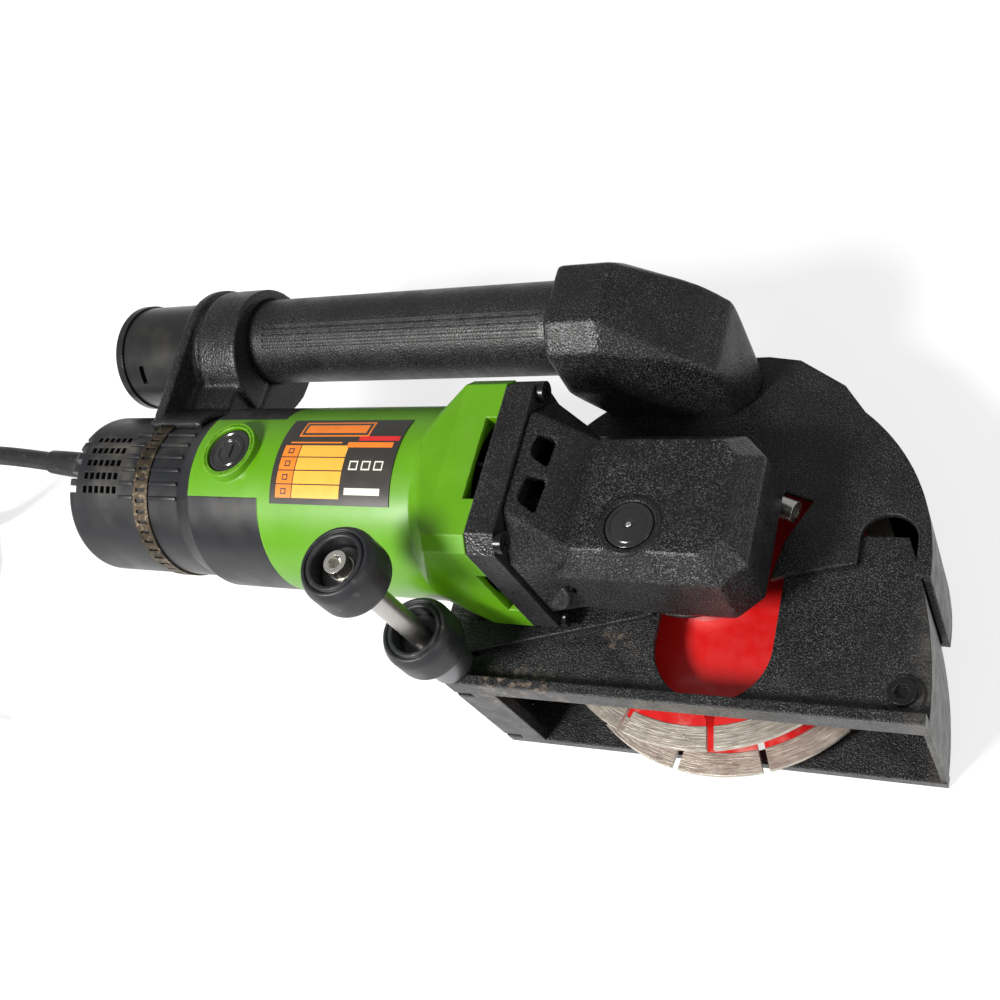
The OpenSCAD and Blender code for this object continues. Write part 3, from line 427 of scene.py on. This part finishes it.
    tie = Paint("tie_webbing", (0.02, 0.02, 0.022), 0.85, Sheen_Weight=0.3)
    weave = tie.add("ShaderNodeTexWave", {"Vector": tie.place.outputs["Object"], "Scale": 420.0, "Distortion": 1.5})
    tie.over((0.05, 0.05, 0.055), tie.ramp(weave.outputs["Fac"], 0.4, 0.9)).grain(weave.outputs["Fac"], 0.2)
    made["tie"] = tie.done()
    made["disc"] = disc_paint()
    return made


def hub_steel():
    """Bright bolt head on a blackened washer, told apart by their distance from the hinge axis."""
    p = steel("hub_bolt_steel", (0.6, 0.58, 0.54), 0.3)
    across = [p.calc("SUBTRACT", p.axis(k), c) for k, c in enumerate(v * MM for v in HINGE)]
    flat = p.add("ShaderNodeCombineXYZ", {0: across[0], 1: across[1]}).outputs[0]
    reach = p.add("ShaderNodeVectorMath", {0: flat}, operation="LENGTH").outputs["Value"]
    washer = p.ramp(reach, 0.00475, 0.0049)
    p.over((0.012, 0.012, 0.013), washer)
    p.tree.links.new(p.calc("SUBTRACT", 1.0, washer), p.shader.inputs["Metallic"])
    return p


def disc_paint():
    """Red enamel on the core, sintered diamond segments outside it."""
    p = Paint("disc_enamel_and_segments", (0.44, 0.003, 0.003), 0.5).round_edges(0.3)
    flat = p.add("ShaderNodeCombineXYZ", {0: p.axis(0), 1: p.axis(1)}).outputs[0]
    reach = p.add("ShaderNodeVectorMath", {0: flat}, operation="LENGTH").outputs["Value"]
    ring = p.add("ShaderNodeMapRange", {"Value": reach, "From Min": 0.0652, "From Max": 0.0656}).outputs[0]
    p.over((0.35, 0.003, 0.003), p.ramp(p.noise(30, 4), 0.45, 0.75, 0, 0.5))
    rubbed = p.calc("MULTIPLY", p.ramp(reach, 0.058, 0.066, 0, 0.5), p.ramp(p.noise(90, 5), 0.5, 0.8))
    p.over((0.5, 0.42, 0.36), rubbed)
    # streaks that run round the disc
    turn = p.calc("MULTIPLY", p.calc("ARCTAN2", p.axis(1), p.axis(0)), 9.0)
    around = p.add("ShaderNodeCombineXYZ", {0: turn, 1: p.calc("MULTIPLY", reach, 1500.0),
                                            2: p.calc("MULTIPLY", p.axis(2), 600.0)}).outputs[0]
    streaks = p.add("ShaderNodeTexNoise", {"Vector": around, "Scale": 1.0, "Detail": 4.0, "Roughness": 0.6}).outputs[0]
    p.over((0.4, 0.36, 0.31), ring)
    p.over((0.19, 0.15, 0.115), p.calc("MULTIPLY", ring, p.ramp(streaks, 0.52, 0.72, 0, 0.7)))
    p.over((0.62, 0.6, 0.55), p.calc("MULTIPLY", ring, p.ramp(streaks, 0.46, 0.3, 0, 0.8)))
    p.tree.links.new(p.calc("MULTIPLY", ring, 0.75), p.shader.inputs["Metallic"])
    p.grain(p.calc("MULTIPLY", streaks, p.calc("ADD", ring, 0.12)), 0.18)
    return p.roughness(p.noise(160, 4), 0.34, 0.55).done()


CAD_FINISH = {
    "guard": ["upper_guard"],
    "shoe": ["shoe"],
    "head": ["neck_flange"],
    "plate": ["flange_plate"],
    "tube": ["handle_tube"],
    "green": ["motor_housing"],
    "black": ["rear_sleeve", "switch_body"],
    "cap": ["rear_cap", "cooling_fan"],
    "outlet": ["dust_outlet"],
    "axle": ["hinge_axle"],
    "hub": ["roller_bolt"],
    "steel": ["shoe_nut", "guard_clamp_screw", "spindle", "inner_flange", "disc_spacer",
              "disc_nut", "lock_spring", "armature_shaft", "switch_spring", "brush_springs", "band_screw", "gear_nut"],
    "bearing": ["spindle_bearing", "front_bearing", "rear_bearing"],
    "gear": ["bevel_gear", "pinion"],
    "sleeve": ["axle_sleeve"],
    "screws": ["roller_washers", "shoe_bolt", "neck_screws", "flange_screws", "bracket_screw"],
    "bronze": ["spindle_bush", "brush_holders"],
    "lamination": ["armature_core", "stator_core"],
    "copper": ["armature_winding", "field_coils", "commutator"],
    "carbon": ["carbon_brushes"],
    "label": ["rating_plate"],
    "band": ["band_clamp"],
    "disc": ["disc_near", "disc_far"],
}


def finish_cad(made):
    for key, nodes in CAD_FINISH.items():
        for node in nodes:
            for s in bpy.data.objects[node].material_slots:
                s.material = made[key]


# ---- the mains lead

COIL_AT = Vector((-555, -44))
LEAD = [(-344, 17.2, 107.5), (-374, 20, 107.3), (-404, 22, 106), (-424, 23, 101), (-442, 24, 91), (-457, 25, 77),
        (-467, 25, 62), (-477, 26, 45), (-489, 26, 29), (-504, 26, 15), (-522, 26, 8), (-536, 26, 5.5)]
TAIL = [(-540, -116, 15), (-522, -116, 16), (-504, -116, 18), (-488.3, -116, 19)]
COIL_TURNS = 5.5
POINTS_A_TURN = 24


def ease(value, low, high):
    t = min(1.0, max(0.0, (value - low) / (high - low)))
    return t * t * (3 - 2 * t)


def coil_point(t):
    """A point on the coil after t turns: three turns inwards on the floor, then outwards on top."""
    r = 70 - 10 * (ease(t, 0.78, 0.98) + ease(t, 1.78, 1.98))
    r += 10 * (ease(t, 3.45, 3.65) + ease(t, 4.45, 4.65) + ease(t, 5.42, 5.62))
    z = 5 + 10 * ease(t, 2.56, 2.82)
    a = math.radians(90 + 360 * t)
    return Vector((COIL_AT.x + r * math.cos(a), COIL_AT.y + r * math.sin(a), z))


def smooth_run(points, per):
    """Points on a Catmull-Rom curve through the given ones."""
    out = []
    for i in range(len(points) - 1):
        p = [Vector(points[max(0, min(len(points) - 1, k))]) for k in (i - 1, i, i + 1, i + 2)]
        for k in range(per):
            t = k / per
            out.append(0.5 * (2 * p[1] + (p[2] - p[0]) * t + (2 * p[0] - 5 * p[1] + 4 * p[2] - p[3]) * t * t
                              + (3 * p[1] - p[0] - 3 * p[2] + p[3]) * t ** 3))
    out.append(Vector(points[-1]))
    return out


def make_lead(made):
    """One curve from the boot to the coil, round it, and out to the plug."""
    turns = [coil_point(k / POINTS_A_TURN) for k in range(int(COIL_TURNS * POINTS_A_TURN) + 1)]
    route = smooth_run([*LEAD, turns[0]], 3)[:-1] + turns
    route += smooth_run([turns[-1], *TAIL], 2)[1:]
    curve = bpy.data.curves.new("mains_lead", "CURVE")
    curve.dimensions, curve.bevel_depth, curve.bevel_resolution = "3D", CORD_D / 2 * MM, 5
    curve.use_fill_caps = True
    spline = curve.splines.new("POLY")
    spline.points.add(len(route) - 1)
    for point, p in zip(spline.points, route):
        point.co = (*(p * MM), 1)
    spline.use_smooth = True
    ob = bpy.data.objects.new("mains_lead", curve)
    bpy.context.scene.collection.objects.link(ob)
    curve.materials.append(made["cord"])
    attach(ob, "tool")
    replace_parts(ob, "cord", "cord_coil")


def make_plug(made):
    """A round two-pin plug lying beside the coil."""
    place = at(-488, -116, 19, Matrix.Rotation(math.pi / 2, 4, "Y"))
    bm = bmesh.new()
    neck = [(0, 0, 0), (6.4, 0, 0.6)]
    for k in range(5):
        z, r = 2 + k * 4, 6.6 + k * 0.45
        neck += [(r, z, 0.4), (r, z + 2.2, 0.4), (r - 0.9, z + 2.6, 0.3), (r - 0.9, z + 3.6, 0.3)]
    body = [(9.2, 22, 1.5), (13, 22.4, 2), (17.6, 36, 2.5), (16.9, 38.4, 0.6), (18.4, 39.4, 0.8), (18.4, 47.6, 0.8),
            (17.4, 48, 0.4), (0, 48, 0)]
    lathe(bm, rounded(neck + body, 3), place, 64)
    # grip ribs on the two broad sides
    for side in (-1, 1):
        for k in range(5):
            across = side * (14.2 + 0.85 * (k - 2))
            box_into(bm, (1.1, 9 - abs(k - 2), 1.6), place @ at(across, 0, 27 + 2.1 * k), 0, 0.3)
    pin = [(0, 47.5, 0), (2.4, 47.5, 0), (2.4, 66.2, 1.1), (0, 67, 0)]
    collar = [(0, 47.6, 0), (3.4, 47.6, 0), (3.4, 48.6, 0.4), (0, 48.6, 0)]
    for s in (-1, 1):
        lathe(bm, rounded(pin, 4), place @ at(0, s * 9.5, 0), 20, 1)
        lathe(bm, rounded(collar, 3), place @ at(0, s * 9.5, 0), 20)
    return seat(new_object("mains_plug", bm, [made["cord"], made["steel"]]), "tool", ("plug",))


def make_tie(made):
    """A strap round the coil, rounded over its corners."""
    line = []
    for x, z, a0, a1 in ((-70, 15, 180, 90), (-50, 15, 90, 0)):
        line += [(x + 5.7 * math.cos(math.radians(a)), z + 5.7 * math.sin(math.radians(a)))
                 for a in [a0 + (a1 - a0) * k / 6 for k in range(7)]]
    line = [(-75.7, 0.6)] + line + [(-44.3, 0.6)]
    section = [(-4.9, -0.3), (-4.4, -0.5), (4.4, -0.5), (4.9, -0.3), (4.9, 0.3), (4.4, 0.5), (-4.4, 0.5), (-4.9, 0.3)]
    bm = bmesh.new()
    rows = []
    for i, (x, z) in enumerate(line):
        before, after = line[max(0, i - 1)], line[min(len(line) - 1, i + 1)]
        along = Vector((after[0] - before[0], after[1] - before[1])).normalized()
        out = Vector((-along.y, along.x))
        ring = []
        for y, lift in section:
            p = Vector((COIL_AT.x + x + out.x * lift, COIL_AT.y + y, z + out.y * lift))
            ring.append(bm.verts.new(p * MM))
        rows.append(ring)
    for a, b in zip(rows, rows[1:]):
        for k in range(len(section)):
            j = (k + 1) % len(section)
            bm.faces.new((a[k], a[j], b[j], b[k]))
    bm.faces.new(rows[0])
    bm.faces.new(rows[-1][::-1])
    # stitched end of the strap, folded over on top
    box_into(bm, (9, 8.6, 0.5), at(COIL_AT.x - 60, COIL_AT.y, 20.9), 0, 0.2)
    return seat(new_object("coil_strap", bm, [made["tie"]]), "tool", ("cord_tie",))


def make_boot(made):
    """The tapered rubber boot where the lead leaves the cap."""
    lean = Matrix.Rotation(math.radians(-90), 4, "Y")
    place = at(-284, 12, MOTOR_Z, Matrix.Rotation(math.radians(-5), 4, "Z") @ lean)
    outline = [(5.05, -2, 0), (7.2, -2, 0.2), (7.25, 4, 2), (7.1, 22, 4), (6.6, 46, 4), (6.3, 56, 2), (6.15, 60, 1),
               (5.05, 60.1, 0.2)]
    bm = bmesh.new()
    lathe(bm, rounded(outline, 3), place, 56)
    # collar at the cap
    collar = [(5.2, -0.6, 0), (8.3, -0.6, 0), (8.3, 1.1, 0.6), (7.2, 1.6, 0.3), (5.2, 1.6, 0)]
    lathe(bm, rounded(collar, 3), at(-284, 12, MOTOR_Z, lean), 56)
    return seat(new_object("lead_boot", bm, [made["cord"]]), "tool")


# ---- rollers, buttons and the label


def make_rollers(made):
    """Two rubber wheels on one axle, each with a groove near its rim and a sunk hub."""
    for name, low, high, bore, body, node in (("near_roller_tyre", 152.2, 171.2, 4.05, "near_wheel", "roller_near"),
                                              ("far_roller_tyre", 90.2, 109.4, 4.75, "far_wheel", "roller_far")):
        h = high - low
        tread = [(bore, 0.4, 0.3), (6.5, 0, 0.4), (12.6, 0, 0.6), (15.4, 2.6, 1.6), (15.5, h - 3.4, 1.8)]
        groove = [(13.6, h, 1.2), (12.5, h - 0.1, 0.25), (12.2, h - 0.9, 0.25), (11.8, h - 0.9, 0.25),
                  (11.5, h - 0.1, 0.25)]
        hub = [(10.2, h, 0.6), (9.6, h - 0.8, 0.5), (9.3, h - 7.6, 0.5), (bore, h - 7.6, 0.1)]
        bm = bmesh.new()
        lathe(bm, rounded(tread + groove + hub, 4), at(*HINGE, low), 96)
        seat(new_object(name, bm, [made["rubber"]]), body, (node,))


def make_lock_button(made):
    """Spindle lock: a domed cap, hollow underneath for its spring, on a pin that goes down to the gear."""
    top = 120
    place = at(*LOCK_AT, 0)
    # the cap's lower rim is drawn in to clear the casting's rounded recess
    cap = [(0, top + 0.65, 0), (5.4, top + 0.65, 0), (5.4, top - 0.9, 0), (8.0, top - 0.9, 0.3), (9.5, top + 0.5, 0.3),
           (9.5, top + 1.1, 0.5), (8.2, top + 1.35, 0.3), (7.7, top + 1.15, 0.2),
           (7.2, top + 1.5, 0.3), (2.6, top + 2.15, 0.5), (1.5, top + 1.7, 0.3), (0, top + 1.75, 0)]
    pin = [(0, 99, 0), (1.9, 99, 0.3), (1.9, top + 0.8, 0), (0, top + 0.8, 0)]
    pip = [(0, top + 1.4, 0), (1.1, top + 1.4, 0), (1.1, top + 1.95, 0.3), (0, top + 2.05, 0)]
    bm = bmesh.new()
    lathe(bm, rounded(cap, 4), place, 80)
    lathe(bm, rounded(pin, 3), place, 24)
    lathe(bm, rounded(pip, 3), place, 20, 1)
    seat(new_object("lock_button_cap", bm, [made["button"], made["steel"]]), "lock", ("lock_button",))


def make_switch(made):
    """Switch button: a dished round cap with a raised bar across the middle."""
    top = 150.4
    outline = [(0, 140.8, 0), (10.75, 140.8, 0), (10.8, top - 0.7, 0.6), (9.9, top - 0.1, 0.4), (9.0, top, 0.4),
               (8.3, top - 0.7, 0.3), (7.6, top - 0.7, 0.3), (7.0, top - 0.1, 0.3), (5.4, top - 0.1, 0.3),
               (5.0, top - 0.8, 0.3), (0, top - 0.9, 0)]
    bm = bmesh.new()
    lathe(bm, rounded(outline, 4), at(*SWITCH_AT, 0), 80)
    box_into(bm, (1.5, 6.6, 0.8), at(*SWITCH_AT, top - 0.6), 0, 0.3)
    seat(new_object("switch_cap", bm, [made["button"]]), "switch", ("switch_button",))


def make_label(made):
    """Printed fields of the rating label: coloured cells with no lettering."""
    plate_r, left_x, low_angle = 41.1, -160, math.radians(-31)
    names = ["orange", "yellow", "white", "red", "ink"]
    bm = bmesh.new()

    def field(u0, u1, v0, v1, ink, lift):
        """A patch u0 to u1 along the motor and v0 to v1 round it, from the low left corner of the plate."""
        steps = max(2, int((v1 - v0) / 0.8))
        rows = []
        for k in range(steps + 1):
            a = low_angle + (v0 + (v1 - v0) * k / steps) / plate_r
            r = plate_r + lift
            rows.append([bm.verts.new(Vector((left_x + u, r * math.sin(a), MOTOR_Z + r * math.cos(a))) * MM)
                         for u in (u0, u1)])
        for p, q in zip(rows, rows[1:]):
            bm.faces.new((p[0], p[1], q[1], q[0])).material_index = names.index(ink)

    field(7.5, 42.5, 30.4, 39.2, "orange", 0.05)
    field(8.3, 41.7, 31.2, 38.4, "ink", 0.08)
    field(9.6, 40.4, 32.4, 37.2, "orange", 0.11)
    field(38.5, 58, 28.2, 30.6, "red", 0.05)
    field(5, 31, 26.8, 27.5, "orange", 0.05)
    field(34, 56, 24.8, 27.4, "orange", 0.05)
    for k in range(4):
        v = 2.6 + 5.9 * k
        field(3, 11, v, v + 5.4, "orange", 0.05)
        field(11.5, 35, v, v + 5.4, "yellow", 0.05)
        # a plain square outline in each picture cell
        field(5.6, 8.4, v + 1.4, v + 4.0, "ink", 0.08)
        field(6.2, 7.8, v + 1.95, v + 3.45, "orange", 0.1)
    for u in (38, 44, 50):
        field(u, u + 4.2, 14.6, 18.6, "white", 0.05)
        field(u + 0.6, u + 3.6, 15.2, 18.0, "ink", 0.08)
    field(37.5, 54.5, 4.4, 7.2, "white", 0.05)
    seat(new_object("label_print", bm, [made["label_" + n] for n in names]), "tool")


def make_details(made):
    """Small moulded parts that sit on the housing and the head."""
    # rounded lip on the switch's boss
    bm = bmesh.new()
    lip = [(10.9, 149.4, 0), (13.15, 149.4, 0), (13.15, 151, 0.8), (10.9, 151, 0.5)]
    lathe(bm, rounded(lip, 4), at(*SWITCH_AT, 0), 80)
    seat(new_object("switch_ring", bm, [made["green"]]), "tool")

    # raised rim round the lock button
    bm = bmesh.new()
    rim = [(9.95, 120.6, 0), (12.5, 120.6, 0), (12.4, 121.2, 0.4), (11.2, 121.2, 0.3), (10.0, 121.1, 0.3)]
    lathe(bm, rounded(rim, 3), at(*LOCK_AT, 0), 80)
    seat(new_object("lock_button_rim", bm, [made["plate"]]), "tool")

    # ribs along the sleeve and the cap, between the rows of slots
    bm = bmesh.new()
    for k in range(6):
        turn = Matrix.Rotation(math.radians(-18.95 + 9.9 * k), 4, "X")
        for x0, x1 in ((-231.6, -215.2), (-250.0, -241.0)):
            box_into(bm, (x1 - x0, 2.0, 1.4), at((x0 + x1) / 2, 0, MOTOR_Z, turn) @ at(0, 0, 37.1), 0, 0.5)
    seat(new_object("grip_ribs", bm, [made["black"]]), "tool")

    # rim of the plugged grease hole on the head's lower face
    bm = bmesh.new()
    face = Vector((-0.253, -0.779, 0.574)).to_track_quat("Z", "Y").to_matrix().to_4x4()
    place = at(-45.2, -33.2, 96.2, face) @ Matrix.Diagonal((1.15, 1, 1, 1))
    rim = [(2.7, -1.6, 0), (6.9, -2.2, 0), (6.6, 0.5, 0.6), (4.0, 0.5, 0.4), (3.4, -0.4, 0.3), (2.7, -0.5, 0)]
    plug = [(0, -2.4, 0), (2.75, -2.4, 0), (2.75, -1.0, 0.3), (1.2, -1.0, 0.2), (0, -1.4, 0)]
    lathe(bm, rounded(rim, 4), place, 48)
    lathe(bm, rounded(plug, 3), place, 32)
    seat(new_object("grease_plug", bm, [made["plate"]]), "tool")


def main():
    make_camera()
    make_stage()
    made = build_materials()
    finish_cad(made)
    plug, tie = make_plug(made), make_tie(made)
    make_lead(made)
    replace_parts(make_boot(made), "strain_relief")
    make_rollers(made)
    make_lock_button(made)
    make_switch(made)
    make_label(made)
    make_details(made)
    softened("dust_elbow", 0.9, 26, made["duct"])
    softened("gear_case", 0.8, 7, made["head"])
    softened("handle_bracket", 0.9, 5, made["bracket"])


main()
